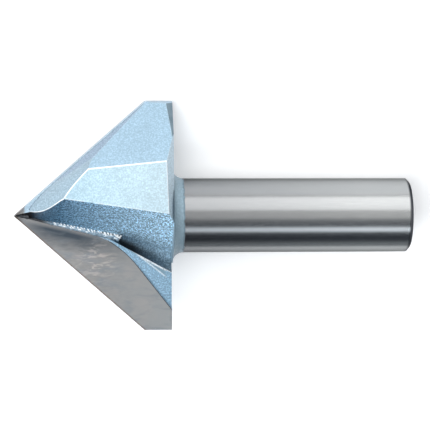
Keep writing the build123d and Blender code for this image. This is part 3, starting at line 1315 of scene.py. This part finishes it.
# %% Lay the floor
FLOOR_SIZE = 6.0
FLOOR_GLOW = 0.25
bpy.ops.object.select_all(action="DESELECT")
bpy.ops.mesh.primitive_plane_add(size=FLOOR_SIZE, location=(0, 0, 0))
floor = bpy.context.object
floor.name = "bench_top"

floor_finish = bpy.data.materials.new("white_bench_top")
floor_finish.use_nodes = True
tree = floor_finish.node_tree
rays = put(tree, "LightPath").outputs
mirrored = put(
    tree, "Math", {0: rays["Is Glossy Ray"], 1: rays["Is Transmission Ray"]}, operation="MAXIMUM"
)
seen = put(tree, "Math", {0: rays["Is Camera Ray"], 1: mirrored}, operation="MAXIMUM")
glow = put(tree, "Math", {0: seen, 1: FLOOR_GLOW}, operation="MULTIPLY")
feed_shader(
    tree,
    {
        "Base Color": linear("#F4F5F6"),
        "Roughness": 0.9,
        "Specular IOR Level": 0.0,
        "Emission Color": linear("#FFFFFF"),
        "Emission Strength": glow,
    },
)
floor.data.materials.append(floor_finish)
print("floor", FLOOR_SIZE, "m wide")

# %% [markdown]
# ## Light
#
# A polished round shank shows everything around it as long bands. One large lamp would light the
# bit evenly, but the shank would lose its bands, so the light is placed band by band. A broad soft
# box over the far side makes the broad bright band, a narrow one over the near side makes the thin
# bright line, and between them the shank mirrors a dim room. A third box, over the tip and near
# the camera, is what the broad flats mirror, and a fourth beyond the tip fills the gullets.


# %% Lamps
# The place on the bit that every lamp faces, in millimetres.
LIT_POINT = (30, 0, 0)


def soft_box(name, direction, distance, width, height, radiance, colour="#FFFFFF"):
    """An area lamp in a direction of the bit's own frame: its width runs along the bit."""
    lamp_data = bpy.data.lights.new(name, "AREA")
    lamp_data.color = linear(colour)[:3]
    lamp_data.shape = "RECTANGLE"
    lamp_data.size = width * MM
    lamp_data.size_y = height * MM
    lamp_data.energy = radiance * pi * width * height * MM * MM
    lamp = bpy.data.objects.new(name, lamp_data)
    bpy.context.scene.collection.objects.link(lamp)
    heading = (bit_axes @ Vector(direction)).normalized()
    sideways = (bit_x - heading * bit_x.dot(heading)).normalized()
    facing = Matrix((sideways, heading.cross(sideways), heading)).transposed().to_4x4()
    spot = on_bit(*LIT_POINT) + heading * distance * MM
    lamp.matrix_world = Matrix.Translation(spot) @ facing
    lamp.visible_camera = False
    print(name, round(lamp_data.energy, 3), "W")


soft_box(
    "far_side_box", direction=(0, 0.6, 0.8), distance=600, width=1200, height=480, radiance=1.35
)
soft_box(
    "near_side_strip",
    direction=(0, -0.72, 0.695),
    distance=700,
    width=900,
    height=170,
    radiance=1.9,
    colour="#F2F9FF",
)
soft_box(
    "tip_side_box", direction=(-0.33, -0.12, 0.94), distance=500, width=220, height=260, radiance=4.2
)
soft_box(
    "tip_end_box", direction=(-0.75, -0.5, 0.43), distance=600, width=400, height=400, radiance=3.6
)

# %% [markdown]
# ## Room
#
# What the lamps leave, the shank mirrors from the room. A single grey would make it look like
# plastic, and a picture of a studio isn't used here. So the room is a plain gradient round the
# bit's axis, pale straight above and on the far side and dark on the near side, so the gullets
# that face the near side stay dark.

# %% Shade the room round the bit
# Degrees from straight above the rake face towards the far side, and the room's grey there.
ROOM_BANDS = [
    (-180, "#9CA2A6"),
    (-100, "#9CA2A6"),
    (-85, "#363C45"),
    (-35, "#555A61"),
    (-15, "#9DA1A5"),
    (-8, "#F4F4F4"),
    (8, "#F4F4F4"),
    (20, "#CBCBCB"),
    (50, "#F0F0F0"),
    (80, "#F0F0F0"),
]

world = bpy.data.worlds.new("grey_room")
bpy.context.scene.world = world
world.use_nodes = True
room = world.node_tree
direction = put(room, "TexCoord").outputs["Generated"]
upwards = put(room, "VectorMath", {0: direction, 1: bit_z}, operation="DOT_PRODUCT")
across = put(room, "VectorMath", {0: direction, 1: bit_y}, operation="DOT_PRODUCT")
angle = put(room, "Math", {0: across, 1: upwards}, operation="ARCTAN2")
share = put(room, "MapRange", {"Value": angle, "From Min": -pi, "From Max": pi})
bands = put(room, "ValToRGB", {"Fac": share})
stops = bands.color_ramp.elements
while len(stops) < len(ROOM_BANDS):
    stops.new(0.5)
for stop, (degrees, room_grey) in zip(stops, ROOM_BANDS):
    stop.position = (degrees + 180) / 360
    stop.color = linear(room_grey)
feed(room, room.nodes["Background"].inputs["Color"], bands.outputs["Color"])
bpy.context.scene.view_settings.view_transform = "Standard"
print("room in", len(ROOM_BANDS), "bands")
